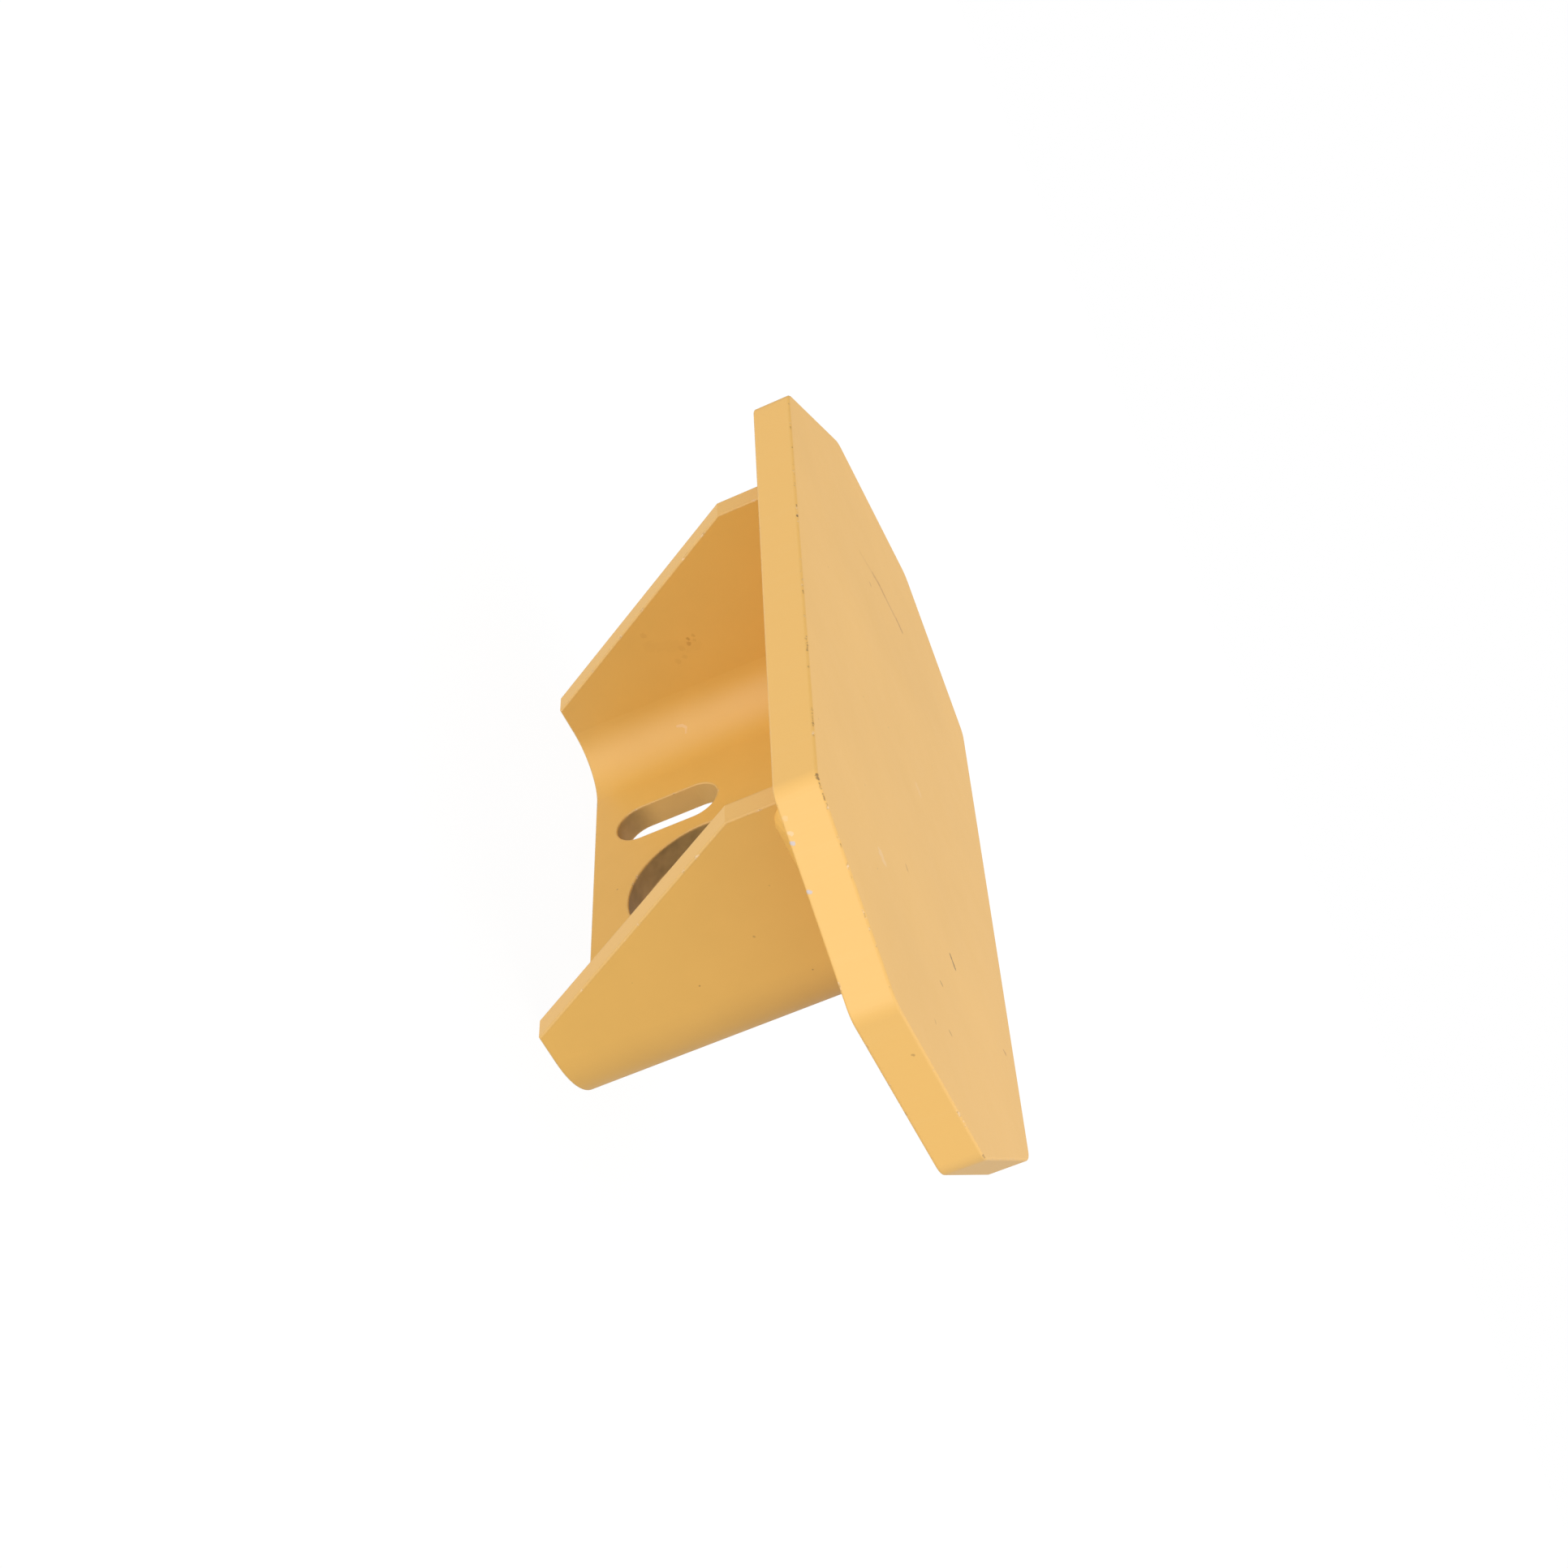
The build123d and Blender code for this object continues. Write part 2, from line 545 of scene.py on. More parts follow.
@dataclass
class EndPlate:
    """The octagonal plate, flame-cut and painted; sizes in millimetres."""

    length: float = 360.0
    depth: float = 170.0
    corner_cut: float = 51.0
    corner_radius: float = 9.0
    underside: float = 116.0
    top: float = 131.0
    cut_fade: tuple[float, float] = (0.9, 1.5)
    rim_fade: tuple[float, float] = (0.0, 0.6)
    enamel: Enamel = Enamel(cloudiness=0.25, edge_share=0.1)

    def on_long_edge(self, x: float) -> Point:
        """A point on the upper rim of the long front edge."""
        return (x, -self.depth / 2, self.top)

    def on_corner_cut(self, share: float, height: float) -> Point:
        """A point on the front right corner cut, share of the way from the long edge."""
        start = self.length / 2 - self.corner_cut
        return (start + share * self.corner_cut, -self.depth / 2 + share * self.corner_cut, height)

    def rim_marks(self) -> list[Mark]:
        """The nicks along the upper rim and the chips at the lower one.

        Returns:
            The marks.
        """
        long_edge = (  # from, to, width, strength, raggedness
            (-102, -100, 0.9, 0.5, 0.6),
            (-86, -85, 0.9, 0.6, 0.6),
            (-66, -64, 0.8, 0.35, 0.6),
            (-61, -53, 0.5, 0.35, 0.5),
            (-43, -39, 0.8, 0.7, 0.6),
            (-34, -33, 1.1, 0.8, 0.5),
            (18, 20, 1.0, 0.6, 0.6),
            (49, 56.5, 0.9, 0.5, 1.3),
            (66, 68, 0.8, 0.4, 0.6),
            (90.5, 101, 0.9, 0.55, 1.3),
            (116, 125, 0.55, 0.4, 0.3),
        )
        upper_cut = (
            (0.03, 0.055, 1.1, 0.75, 0.5),
            (0.08, 0.107, 0.9, 0.65, 0.5),
            (0.305, 0.322, 0.8, 0.6, 0.6),
            (0.341, 0.344, 0.8, 0.55, 0.6),
        )
        lower_cut = (  # share and height of both ends, width, tone, strength, raggedness
            (0.114, 117.1, 0.12, 117.7, 1.3, Tone.RUBBED, 0.15, 0.8),
            (0.18, 117.2, 0.19, 117.7, 1.2, Tone.RUBBED, 0.28, 0.8),
            (0.225, 116.7, 0.231, 117.3, 1.2, Tone.STEEL, 0.8, 0.6),
            (0.441, 116.6, 0.447, 117.4, 1.1, Tone.STEEL, 0.8, 0.6),
        )
        marks = [
            Mark(self.on_long_edge(start), self.on_long_edge(end), width, Tone.DARK, strength, ragged)
            for start, end, width, strength, ragged in long_edge
        ]
        marks += [
            Mark(self.on_corner_cut(start, self.top), self.on_corner_cut(end, self.top),
                 width, Tone.DARK, strength, ragged)
            for start, end, width, strength, ragged in upper_cut
        ]
        marks += [
            Mark(self.on_corner_cut(start, low), self.on_corner_cut(end, high), *looks)
            for start, low, end, high, *looks in lower_cut
        ]
        return marks

    def face_marks(self) -> list[Mark]:
        """The streak, scratches and specks on the upper face, and the nicks at its far corners.

        Returns:
            The marks.
        """
        streak = (  # x, y, strength up to the next point
            (-109.2, -21.4, 0.15), (-110.6, -15.4, 0.2), (-112.5, -8.7, 0.65), (-114.0, -3.2, 0.8),
            (-113.2, 2.3, 0.55), (-112.6, 8.2, 0.5), (-112.6, 14.4, 0.8), (-111.4, 18.7, 0.5),
        )
        spots = (  # x and y of both ends, width, tone, strength, raggedness
            (-97.8, -13.7, -97.0, -13.2, 1.5, Tone.STAINED, 0.6, 0.6),
            (105.0, -34.0, 106.0, -32.2, 4.4, Tone.RUBBED, 0.16, 0.6),
            (87.3, 25.7, 90.5, 29.2, 1.6, Tone.DARK, 0.75, 0.5),
            (118.3, 11.0, 118.3, 12.8, 1.0, Tone.DARK, 0.5, 0.6),
            (140.1, 14.0, 140.1, 15.8, 1.0, Tone.DARK, 0.4, 0.6),
            (149.5, 0.7, 150.3, 1.0, 1.2, Tone.STAINED, 0.5, 0.6),
            (85.3, 73.0, 85.3, 74.8, 1.2, Tone.STAINED, 0.9, 0.6),
            (81.3, -10.0, 82.5, -9.2, 1.6, Tone.STAINED, 0.6, 0.6),
            (4.5, 12.9, 6.0, 15.0, 3.4, Tone.RUBBED, 0.10, 0.7),
            (127.8, -84.6, 128.8, -84.2, 1.7, Tone.DARK, 0.7, 0.7),
            (179.5, 32.6, 178.6, 34.8, 1.0, Tone.DARK, 0.5, 0.8),
        )
        marks = [
            Mark((x, y, self.top), (next_x, next_y, self.top), 2.4, Tone.STAINED, strength, 0.5)
            for (x, y, strength), (next_x, next_y, _) in zip(streak, streak[1:])
        ]
        marks += [
            Mark((x, y, self.top), (end_x, end_y, self.top), *looks)
            for x, y, end_x, end_y, *looks in spots
        ]
        marks.append(Mark((180, -13.9, 127.3), (180, -13.5, 127.6), 0.9, Tone.DARK, 0.35, 0.6))
        return marks

    def dress(self) -> None:
        """Gives the plate its painted finish."""
        material, bench, place = painted("plate_enamel")
        x, y, z = bench.split(place)
        long_side, short_side = abs(x), abs(y)
        half_length, half_depth = self.length / 2, self.depth / 2
        diagonal = half_length + half_depth - self.corner_cut
        inset = (half_length - long_side).at_most(half_depth - short_side)
        inset = inset.at_most((diagonal - long_side - short_side) / math.sqrt(2))
        rounding = self.corner_radius * (1 / math.cos(math.pi / 8) - 1)
        for corner_x, corner_y, lean in (
            (half_length - self.corner_cut, half_depth, 3 * math.pi / 8),
            (half_length, half_depth - self.corner_cut, math.pi / 8),
        ):
            reach = corner_x * math.cos(lean) + corner_y * math.sin(lean) - rounding
            inset = inset.at_most(reach - long_side * math.cos(lean) - short_side * math.sin(lean))
        inset = inset.at_least(0.0)
        below_face = (z - self.underside).at_most(self.top - z).at_least(0.0)
        cut = inset.fall(*self.cut_fade) * below_face.rise(*self.rim_fade)
        wear = Wear(inset + below_face, cut, (*self.rim_marks(), *self.face_marks()))
        self.enamel.material("end_plate", bench, place, wear, seed=1.0)
        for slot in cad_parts["end_plate"].material_slots:
            slot.material = material


@dataclass
class BentChannel:
    """The sheet bent twice to a U with tapered flanges; sizes in millimetres."""

    half_width: float = 105.0
    thickness: float = 10.0
    outside_radius: float = 30.0
    web_outer_y: float = 26.5
    tip_y: float = -66.5
    foot_tip_y: float = -15.5
    taper_start: float = 92.0
    slot_offset: float = 49.0
    slot_height: float = 30.5
    slot_half_run: float = 11.0
    slot_radius: float = 10.0
    window_height: float = 46.0
    window_radius: float = 31.0
    jag_size: float = 1.5
    jag_depth: float = 1.2
    # painted shade in the window's and the slot's walls, more at the slot's lower end
    window_shade: float = 0.96
    slot_shade: float = 0.32
    slot_foot_shade: float = 0.45
    slot_foot: tuple[float, float] = (16.0, 26.0)
    enamel: Enamel = Enamel(cut=(0.72, 0.425, 0.125), chip_share=0.32)

    def marks(self) -> tuple[Mark, ...]:
        """The specks on both flanges and the curved scratch in the far bend.

        Returns:
            The marks.
        """
        inner = -self.half_width + self.thickness
        specks = (  # y and z of both ends, width, strength, raggedness
            (-23.6, 58.8, -23.2, 59.0, 1.3, 0.6, 0.6),
            (-21.6, 58.1, -21.0, 58.5, 1.5, 0.5, 0.7),
            (-24.1, 61.2, -23.6, 61.5, 1.1, 0.3, 0.6),
            (-21.9, 60.8, -21.5, 61.2, 1.1, 0.22, 0.6),
            (-21.0, 54.6, -20.2, 55.4, 2.2, 0.16, 0.7),
            (-17.0, 54.2, -16.6, 54.6, 1.6, 0.14, 0.6),
            (-16.2, 51.0, -15.4, 51.4, 1.9, 0.14, 0.6),
            (-26.6, 44.1, -19.4, 60.6, 4.5, 0.07, 0.6),
            (-32.4, 44.0, -31.8, 44.4, 1.8, 0.16, 0.6),
        )
        scratch = (  # place, width and strength up to the next point
            ((-91.2, 8.3, 39.1), 1.0, 0.18),
            ((-90.8, 8.7, 41.1), 1.0, 0.18),
            ((-90.1, 9.6, 42.0), 0.9, 0.14),
            ((-88.8, 11.0, 41.3), 0.9, 0.14),
        )
        on_flange = [
            Mark((inner, y, z), (inner, end_y, end_z), width, Tone.STAINED, strength, ragged)
            for y, z, end_y, end_z, width, strength, ragged in specks
        ]
        in_bend = [
            Mark(start, end, width, Tone.RUBBED, strength, 0.4)
            for (start, width, strength), (end, _, _) in zip(scratch, scratch[1:])
        ]
        outside = Mark(
            (self.half_width, -22.2, 81.2), (self.half_width, -22.0, 81.4), 0.7, Tone.DARK, 0.3, 0.6)
        return (*on_flange, *in_bend, outside)

    def dress(self) -> None:
        """Gives the channel its painted finish."""
        material, bench, place = painted("channel_enamel")
        x, y, z = bench.split(place)
        across = abs(x)
        bend_x = self.half_width - self.outside_radius
        bend_y = self.web_outer_y - self.outside_radius
        radius = bench.vector(
            "LENGTH", bench.combine((across - bend_x).at_least(0.0), (y - bend_y).at_least(0.0)),
            output="Value",
        )
        inside_radius = self.outside_radius - self.thickness
        skin = (self.outside_radius - radius).at_most(radius - inside_radius).at_least(0.0)

        rise, run = self.taper_start, self.foot_tip_y - self.tip_y
        slope = math.hypot(rise, run)
        taper = (y - self.tip_y) * (rise / slope) + (z - self.taper_start) * (run / slope)
        outline = z.at_most(y - self.tip_y).at_most(taper).at_least(0.0)

        slot_rise = (abs(z - self.slot_height) - self.slot_half_run).at_least(0.0)
        slot = bench.vector("LENGTH", bench.combine(across - self.slot_offset, slot_rise), output="Value")
        window = bench.vector("LENGTH", bench.combine(x, z - self.window_height), output="Value")
        opening = abs(slot - self.slot_radius).at_most(abs(window - self.window_radius))
        opening = opening + (y - bend_y).fall(-1.0, 0.0) * FAR_AWAY

        cut = outline.at_most(opening)
        jagged = (bench.noise(place, 1 / self.jag_size, roughness=0.6) - 0.5) * self.jag_depth
        # painted shade on the walls of the window and the slot, strongest in the window and at the slot's
        # lower end, kept off the web's faces
        wall_shade = (abs(window - self.window_radius) + jagged).fall(0.4, 0.8) * self.window_shade
        slot_shade_here = self.slot_shade + z.fall(*self.slot_foot) * self.slot_foot_shade
        wall_shade = wall_shade.at_least(abs(slot - self.slot_radius).fall(0.3, 0.8) * slot_shade_here)
        wall_shade = wall_shade * (y - bend_y).rise(-1.0, 0.0) * (skin + jagged * 0.6).rise(0.15, 0.6)
        wear = Wear(cut + skin, cut.fall(0.3, 0.8), self.marks(), painted_shade=wall_shade)
        self.enamel.material("bent_channel", bench, place, wear, seed=2.0)
        for slot_of_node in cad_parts["bent_channel"].material_slots:
            slot_of_node.material = material


class WeldRecipe:
    """A geometry tree that lays a rippled fillet bead along a route of straight edges."""

    SIZES: Mapping[str, tuple[str, float]] = {
        "Leg": ("NodeSocketFloat", 0.0121),
        "Roundness": ("NodeSocketFloat", 0.46),
        "Sink": ("NodeSocketFloat", 0.0004),
        "Corner Radius": ("NodeSocketFloat", 0.030),
        "Step": ("NodeSocketFloat", 0.0005),
        "Start Nose": ("NodeSocketFloat", 0.0045),
        "Finish Nose": ("NodeSocketFloat", 0.0045),
        "Ripple Pitch": ("NodeSocketFloat", 0.0026),
        "Ripple Height": ("NodeSocketFloat", 0.00028),
        "Ripple Lag": ("NodeSocketFloat", 0.0034),
        "Wander": ("NodeSocketFloat", 0.055),
        "Seed": ("NodeSocketFloat", 0.0),
        "Face Points": ("NodeSocketInt", 26),
    }
    CORNER_POINTS = 48
    SLOW_NOISE = (90.0, 7.3, 0.8)    # cells for a metre along the bead, for one seed and across the face
    QUICK_NOISE = (420.0, 3.1, 2.5)
    RIPPLE_JITTER = 0.9
    RIPPLE_SHARPNESS = 0.7

    def __init__(self) -> None:
        """Builds the tree."""
        self.tree = bpy.data.node_groups.new("fillet_bead", "GeometryNodeTree")
        self.identifiers: dict[str, str] = {}
        self._socket("Route", "INPUT", "NodeSocketGeometry")
        for name, (kind, value) in self.SIZES.items():
            self._socket(name, "INPUT", kind).default_value = value
        self._socket("Paint", "INPUT", "NodeSocketMaterial")
        self._socket("Bead", "OUTPUT", "NodeSocketGeometry")
        self._build()

    def _socket(self, name: str, side: str, kind: str) -> Any:
        """Adds a socket to the tree's interface.

        Args:
            name: The socket's name.
            side: INPUT or OUTPUT.
            kind: The socket's type.

        Returns:
            The interface's new item.
        """
        item = self.tree.interface.new_socket(name, in_out=side, socket_type=kind)
        self.identifiers[name] = item.identifier
        return item

    def _section(self, bench: Bench, given: Signal) -> tuple[Signal, Signal]:
        """Makes the bead's closed section.

        Args:
            bench: The tree.
            given: The group's inputs.

        Returns:
            The section curve, and the place across the bead's face, from 0 at the plate's toe to 1.
        """
        count = given.sibling("Face Points")
        ring = bench.add(
            "GeometryNodeCurvePrimitiveCircle", {"mode": "RADIUS"},
            {"Resolution": count + 1, "Radius": given.sibling("Leg")}, "Curve",
        )
        index = bench.add("GeometryNodeInputIndex")
        across = index / (count - 1)
        angle = across * (math.pi / 2)
        cosine, sine = bench.math("COSINE", angle), bench.math("SINE", angle)
        roundness = given.sibling("Roundness")
        reach = given.sibling("Leg") * ((1 - roundness) / (cosine + sine) + roundness)
        reach = reach * bench.math("LESS_THAN", index, count - 0.5)
        sink = given.sibling("Sink")
        corner = bench.combine(reach * cosine - sink, reach * sine - sink)
        shaped = bench.add("GeometryNodeSetPosition", None, {"Geometry": ring, "Position": corner})
        kept = bench.add(
            "GeometryNodeCaptureAttribute", {"domain": "POINT", "captures": {"Across": "FLOAT"}},
            {"Geometry": shaped, 1: across}, "Geometry",
        )
        return kept, kept.sibling("Across")

    @staticmethod
    def _nose(bench: Bench, from_end: Signal, length: Signal) -> Signal:
        """The bead's share of its full size near one rounded end, a little above 0 at the very end."""
        gap = 1 - ((from_end + 1e-5) / (length + 1e-7)).clamped()
        return bench.math("SQRT", 1 - gap * gap)

    def _build(self) -> None:
        """Adds the nodes."""
        bench = Bench(self.tree)
        given = bench.add("NodeGroupInput", output="Route")
        curve = bench.add("GeometryNodeMeshToCurve", None, {"Mesh": given})
        curve = bench.add(
            "GeometryNodeFilletCurve", {"mode": "POLY"},
            {"Curve": curve, "Count": self.CORNER_POINTS, "Radius": given.sibling("Corner Radius"),
             "Limit Radius": True},
        )
        curve = bench.add(
            "GeometryNodeResampleCurve", {"mode": "LENGTH"},
            {"Curve": curve, "Length": given.sibling("Step")},
        )
        run = bench.add("GeometryNodeSplineParameter", output="Length")
        total = bench.add("GeometryNodeSplineLength", output="Length")
        root = bench.add("GeometryNodeInputPosition")
        curve = bench.add(
            "GeometryNodeCaptureAttribute",
            {"domain": "POINT", "captures": {"Run": "FLOAT", "Total": "FLOAT", "Root": "VECTOR"}},
            {"Geometry": curve, 1: run, 2: total, 3: root}, "Geometry",
        )
        run, total, root = curve.sibling("Run"), curve.sibling("Total"), curve.sibling("Root")
        section, across = self._section(bench, given)
        bead = bench.add(
            "GeometryNodeCurveToMesh", None,
            {"Curve": curve, "Profile Curve": section, "Fill Caps": True},
        )

        seed = given.sibling("Seed")
        slow, quick = (
            bench.noise(bench.combine(run * along, seed * apart, across * over), 1.0)
            for along, apart, over in (self.SLOW_NOISE, self.QUICK_NOISE)
        )
        off_middle = across * 2 - 1
        lagging = run + off_middle * off_middle * given.sibling("Ripple Lag")
        phase = lagging / given.sibling("Ripple Pitch") + (quick - 0.5) * self.RIPPLE_JITTER
        wave = bench.math("SINE", phase * math.tau) * 0.5 + 0.5
        face = (across * (1 - across) * 4).clamped()
        ripple = (wave ** self.RIPPLE_SHARPNESS) * (face ** 0.5)
        ripple = ripple * given.sibling("Ripple Height") / given.sibling("Leg")

        ends = self._nose(bench, run, given.sibling("Start Nose"))
        ends = ends * self._nose(bench, total - run, given.sibling("Finish Nose"))
        size = 1 - given.sibling("Wander") + (slow - 0.5) * 2 * given.sibling("Wander") + ripple
        size = size * ends
        spoke = bench.vector("SUBTRACT", bench.add("GeometryNodeInputPosition"), root)
        bead = bench.add(
            "GeometryNodeSetPosition", None,
            {"Geometry": bead, "Position": bench.vector("ADD", root, bench.scaled(spoke, size))},
        )
        bead = bench.add(
            "GeometryNodeStoreNamedAttribute", {"data_type": "FLOAT", "domain": "POINT"},
            {"Geometry": bead, "Name": "toe", "Value": abs(off_middle).clamped()},
        )
        bead = bench.add("GeometryNodeSetShadeSmooth", None, {"Geometry": bead, "Shade Smooth": True})
        bead = bench.add("GeometryNodeRealizeInstances", None, {"Geometry": bead})
        bead = bench.add(
            "GeometryNodeSetMaterial", None, {"Geometry": bead, "Material": given.sibling("Paint")}
        )
        bench.place("NodeGroupOutput", {}, {"Bead": bead})

    def lay(self, name: str, route: Sequence[Point], values: Mapping[str, Any]) -> bpy.types.Mesh:
        """Lays one bead.

        Args:
            name: The mesh's name.
            route: The corners of the line where the plate and the channel meet, in metres.
            values: The inputs that differ from the recipe's own.

        Returns:
            The bead as a plain mesh.
        """
        line = bpy.data.meshes.new(name + "_route")
        line.from_pydata([Vector(p) for p in route], [(i, i + 1) for i in range(len(route) - 1)], [])
        holder = bpy.data.objects.new(name + "_route", line)
        bpy.context.scene.collection.objects.link(holder)
        modifier = holder.modifiers.new("bead", "NODES")
        modifier.node_group = self.tree
        for key, value in values.items():
            modifier[self.identifiers[key]] = value
        graph = bpy.context.evaluated_depsgraph_get()
        mesh = bpy.data.meshes.new_from_object(holder.evaluated_get(graph), depsgraph=graph)
        mesh.name = name
        holder.modifiers.remove(modifier)
        bpy.data.objects.remove(holder)
        bpy.data.meshes.remove(line)
        return mesh


class WeldSide(Enum):
    """Which of the three runs a weld is, by the CAD node that it stands for."""

    LEFT = "left_flange_weld"
    RIGHT = "right_flange_weld"
    WEB = "web_weld"


@dataclass
class Weld:
    """One painted fillet weld under the plate; sizes in metres."""

    side: WeldSide
    recipe: WeldRecipe
    seed: float
    channel: BentChannel
    height: float = 0.116
    overlap: float = 0.006
    flange_nose: float = 0.010
    crease: tuple[float, float] = (0.82, 1.0)
    # A lighter copy of the enamel: painted highlight for the extra light that the bead's rounded face
    # catches.
    enamel: Enamel = Enamel(body=(0.74, 0.43, 0.105), deep=(0.67, 0.385, 0.09), peel_height=0.03)

    def route(self) -> list[Point]:
        """The line where the plate and the channel meet, with the channel on its left.

        Returns:
            Its corners.
        """
        outer, web, tip = (
            self.channel.half_width * MM, self.channel.web_outer_y * MM, self.channel.tip_y * MM)
        bend_end = outer - self.channel.outside_radius * MM
        if self.side is WeldSide.WEB:
            reach = bend_end + self.overlap / 2
            return [(reach, web, self.height), (-reach, web, self.height)]
        return [(outer, tip, self.height), (outer, web, self.height),
                (bend_end - self.overlap, web, self.height)]

    def paint(self) -> bpy.types.Material:
        """Makes the bead's painted finish.

        Returns:
            The material.
        """
        material, bench, place = painted(self.side.value + "_enamel")
        toe = bench.add("ShaderNodeAttribute", {"attribute_name": "toe"}, None, "Fac")
        wear = Wear(None, None, crease=toe.rise(*self.crease))
        self.enamel.material(self.side.value, bench, place, wear, self.seed)
        return material

    def build(self) -> bpy.types.Object:
        """Builds the bead and lets it stand for its CAD node.

        Returns:
            The finished piece.
        """
        values: dict[str, Any] = {"Seed": self.seed, "Paint": self.paint()}
        if self.side is not WeldSide.WEB:
            values["Start Nose"] = self.flange_nose
        mesh = self.recipe.lay(self.side.value + "_bead", self.route(), values)
        if self.side is WeldSide.LEFT:
            mesh.transform(Matrix.Scale(-1.0, 4, (1.0, 0.0, 0.0)))
            mesh.flip_normals()
        piece = bpy.data.objects.new(mesh.name, mesh)
        bpy.context.scene.collection.objects.link(piece)
        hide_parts(self.side.value)
        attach(piece, "root")
        LOG.info("%s: %d faces", piece.name, len(mesh.polygons))
        return piece


# ---------------------------------------------------------------------------------------------
# Studio
# ---------------------------------------------------------------------------------------------


@dataclass(frozen=True)
class SoftGlow:
    """A broad patch of light in the surroundings, brightest in one direction."""

    direction: Point
    strength: float
    breadth: float = 4.0

    def shine(self, bench: Bench, looking: Signal) -> Signal:
        """The patch's brightness in every direction.

        Args:
            bench: The tree of the surroundings.
            looking: The direction that is asked about.

        Returns:
            The brightness.
        """
        towards = tuple(Vector(self.direction).normalized())
        facing = bench.vector("DOT_PRODUCT", looking, towards, output="Value")
        return facing.at_least(0.0) ** self.breadth * self.strength


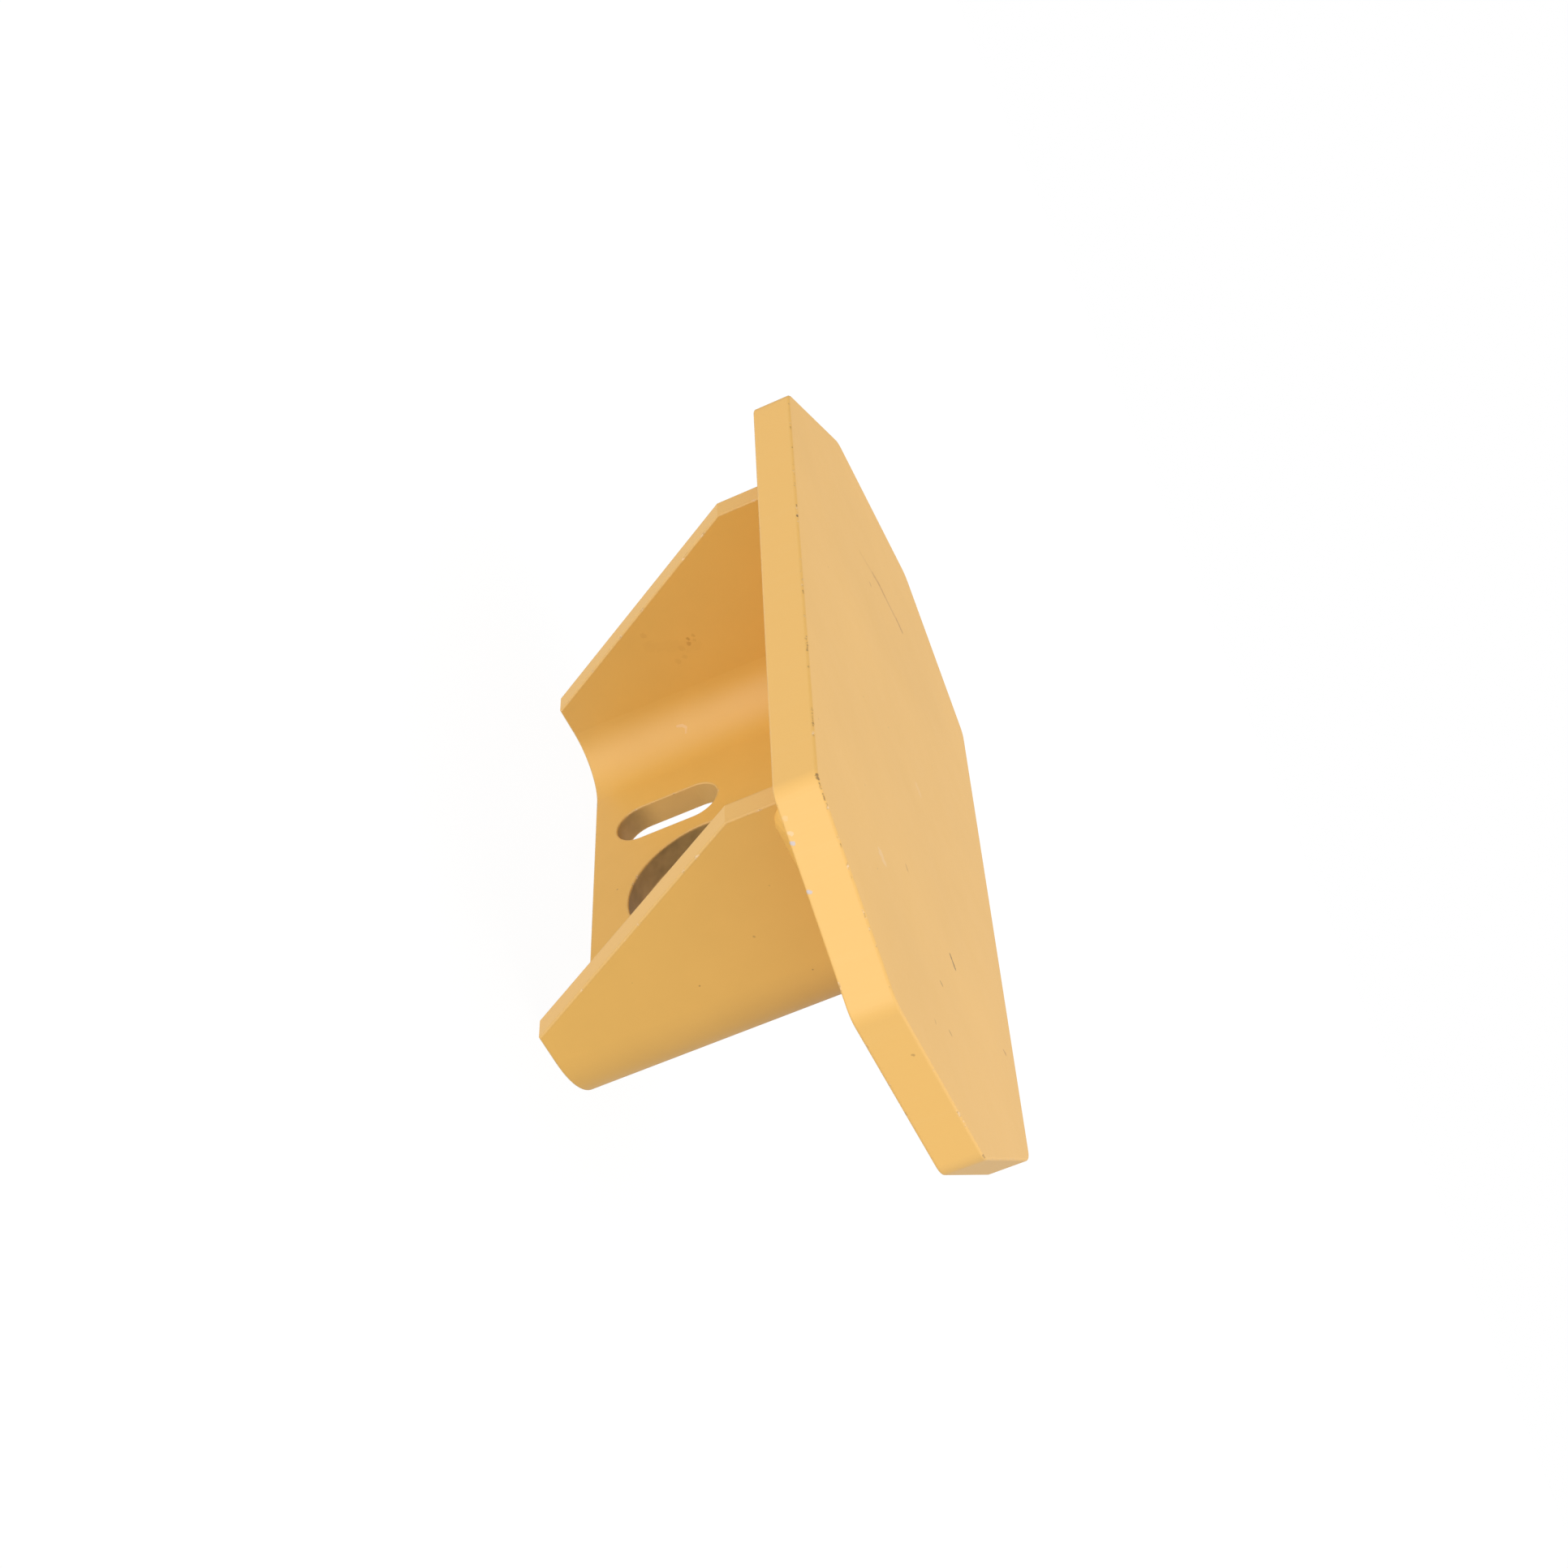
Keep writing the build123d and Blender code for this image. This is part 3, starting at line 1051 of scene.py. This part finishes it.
@dataclass
class Studio:
    """A white sweep, a pale floor, soft light and the camera; angles in degrees, lengths in metres."""

    azimuth: float = 57.976
    elevation: float = 12.162
    roll: float = 68.122
    lens: float = 63.797
    sensor: float = 36.0
    distance: float = 0.99325
    nearest: float = 0.01
    aim_right: float = 0.01791
    aim_up: float = 0.01261
    fill: float = 0.04
    sweep_radius: float = 9.0
    floor_radius: float = 5.0
    floor_glow: float = 0.96
    floor_colour: Colour = (0.05, 0.05, 0.05)
    floor_corners: int = 96
    glows: tuple[SoftGlow, ...] = (
        SoftGlow((1, -1, -1), 1.95),
        SoftGlow((0, 0, 1), 1.65),
        SoftGlow((1, 1, 1), 1.15),
        SoftGlow((1, -1, 0), 0.92),
        SoftGlow((-1, -1, -1), 0.75),
        SoftGlow((-1, 1, 1), 0.64),
        SoftGlow((0, -1, 0), 0.39),
        SoftGlow((0, -1, 1), 0.40),
        SoftGlow((-1, 1, -1), 0.60),
        SoftGlow((0, 1, 1), 0.50),
        SoftGlow((1, 1, -1), 0.50),
    )

    def aim(self, centre: Vector) -> None:
        """Makes the camera.

        Args:
            centre: The middle of the bracket's box.
        """
        azimuth, elevation, roll = map(math.radians, (self.azimuth, self.elevation, self.roll))
        view = Vector((-math.sin(azimuth) * math.cos(elevation),
                       math.cos(azimuth) * math.cos(elevation), -math.sin(elevation)))
        level = view.cross(Vector((0, 0, 1))).normalized()
        right = level * math.cos(roll) + level.cross(view) * math.sin(roll)
        up = right.cross(view)
        data = bpy.data.cameras.new("camera")
        data.lens, data.sensor_width, data.clip_start = self.lens, self.sensor, self.nearest
        camera = bpy.data.objects.new("camera", data)
        place = centre + right * self.aim_right + up * self.aim_up - view * self.distance
        turn = Matrix((right, up, -view)).transposed().to_4x4()
        camera.matrix_world = Matrix.Translation(place) @ turn
        bpy.context.scene.collection.objects.link(camera)
        bpy.context.scene.camera = camera

    def light(self) -> None:
        """Lights the scene from soft, broad patches all round."""
        world = bpy.data.worlds.new("surroundings")
        world.use_nodes = True
        world.node_tree.nodes.clear()
        bench = Bench(world.node_tree)
        looking = bench.add("ShaderNodeTexCoord", output="Generated")
        strength = self.glows[0].shine(bench, looking) + self.fill
        for glow in self.glows[1:]:
            strength = strength + glow.shine(bench, looking)
        sky = bench.add("ShaderNodeBackground", None, {"Color": (1.0, 1.0, 1.0), "Strength": strength})
        bench.place("ShaderNodeOutputWorld", {}, {"Surface": sky})
        bpy.context.scene.world = world
        bpy.context.scene.view_settings.view_transform = "Standard"

    @staticmethod
    def _stage_piece(name: str, mesh: bpy.types.Mesh, colour: Colour, glow: float) -> bpy.types.Object:
        """Adds a plain glowing piece of the stage that the lights pass through.

        Args:
            name: The piece's name.
            mesh: Its mesh.
            colour: What it throws back of the light on it.
            glow: What it gives out itself.

        Returns:
            The piece.
        """
        material = bpy.data.materials.new(name + "_white")
        material.use_nodes = True
        material.node_tree.nodes.clear()
        bench = Bench(material.node_tree)
        shader = bench.add(
            "ShaderNodeBsdfPrincipled", None,
            {"Base Color": colour, "Roughness": 1.0, "Specular IOR Level": 0.0,
             "Emission Color": (1.0, 1.0, 1.0), "Emission Strength": glow},
        )
        bench.place("ShaderNodeOutputMaterial", {}, {"Surface": shader})
        mesh.materials.append(material)
        piece = bpy.data.objects.new(name, mesh)
        piece.visible_diffuse = piece.visible_glossy = piece.visible_shadow = False
        bpy.context.scene.collection.objects.link(piece)
        piece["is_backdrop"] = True
        return piece

    def lay_floor(self) -> None:
        """Lays the round pale floor, lit from below, and hangs the white sweep round the scene."""
        angles = [math.tau * i / self.floor_corners for i in range(self.floor_corners)]
        points = [(self.floor_radius * math.cos(a), self.floor_radius * math.sin(a), 0.0) for a in angles]
        floor = bpy.data.meshes.new("floor")
        floor.from_pydata(points, [], [tuple(range(self.floor_corners))])
        self._stage_piece("floor", floor, self.floor_colour, self.floor_glow)
        sweep = bpy.data.meshes.new("sweep")
        shell = bmesh.new()
        bmesh.ops.create_icosphere(shell, subdivisions=4, radius=self.sweep_radius)
        bmesh.ops.reverse_faces(shell, faces=shell.faces)
        shell.to_mesh(sweep)
        shell.free()
        self._stage_piece("sweep", sweep, (0.0, 0.0, 0.0), 1.0)


def main() -> None:
    """Builds the bracket's pieces and the studio."""
    logging.basicConfig(level=logging.INFO, format="%(name)s: %(message)s")
    bpy.context.view_layer.update()
    cad_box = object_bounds()
    centre = (cad_box[0] + cad_box[1]) / 2

    studio = Studio()
    studio.aim(centre)
    studio.light()
    studio.lay_floor()
    LOG.info("studio ready")

    EndPlate().dress()
    LOG.info("end plate dressed")
    channel = BentChannel()
    channel.dress()
    LOG.info("bent channel dressed")
    recipe = WeldRecipe()
    for seed, side in enumerate(WeldSide, start=3):
        Weld(side, recipe, float(seed), channel).build()
    LOG.info("welds laid")

    bpy.context.view_layer.update()


if __name__ == "__main__":
    main()
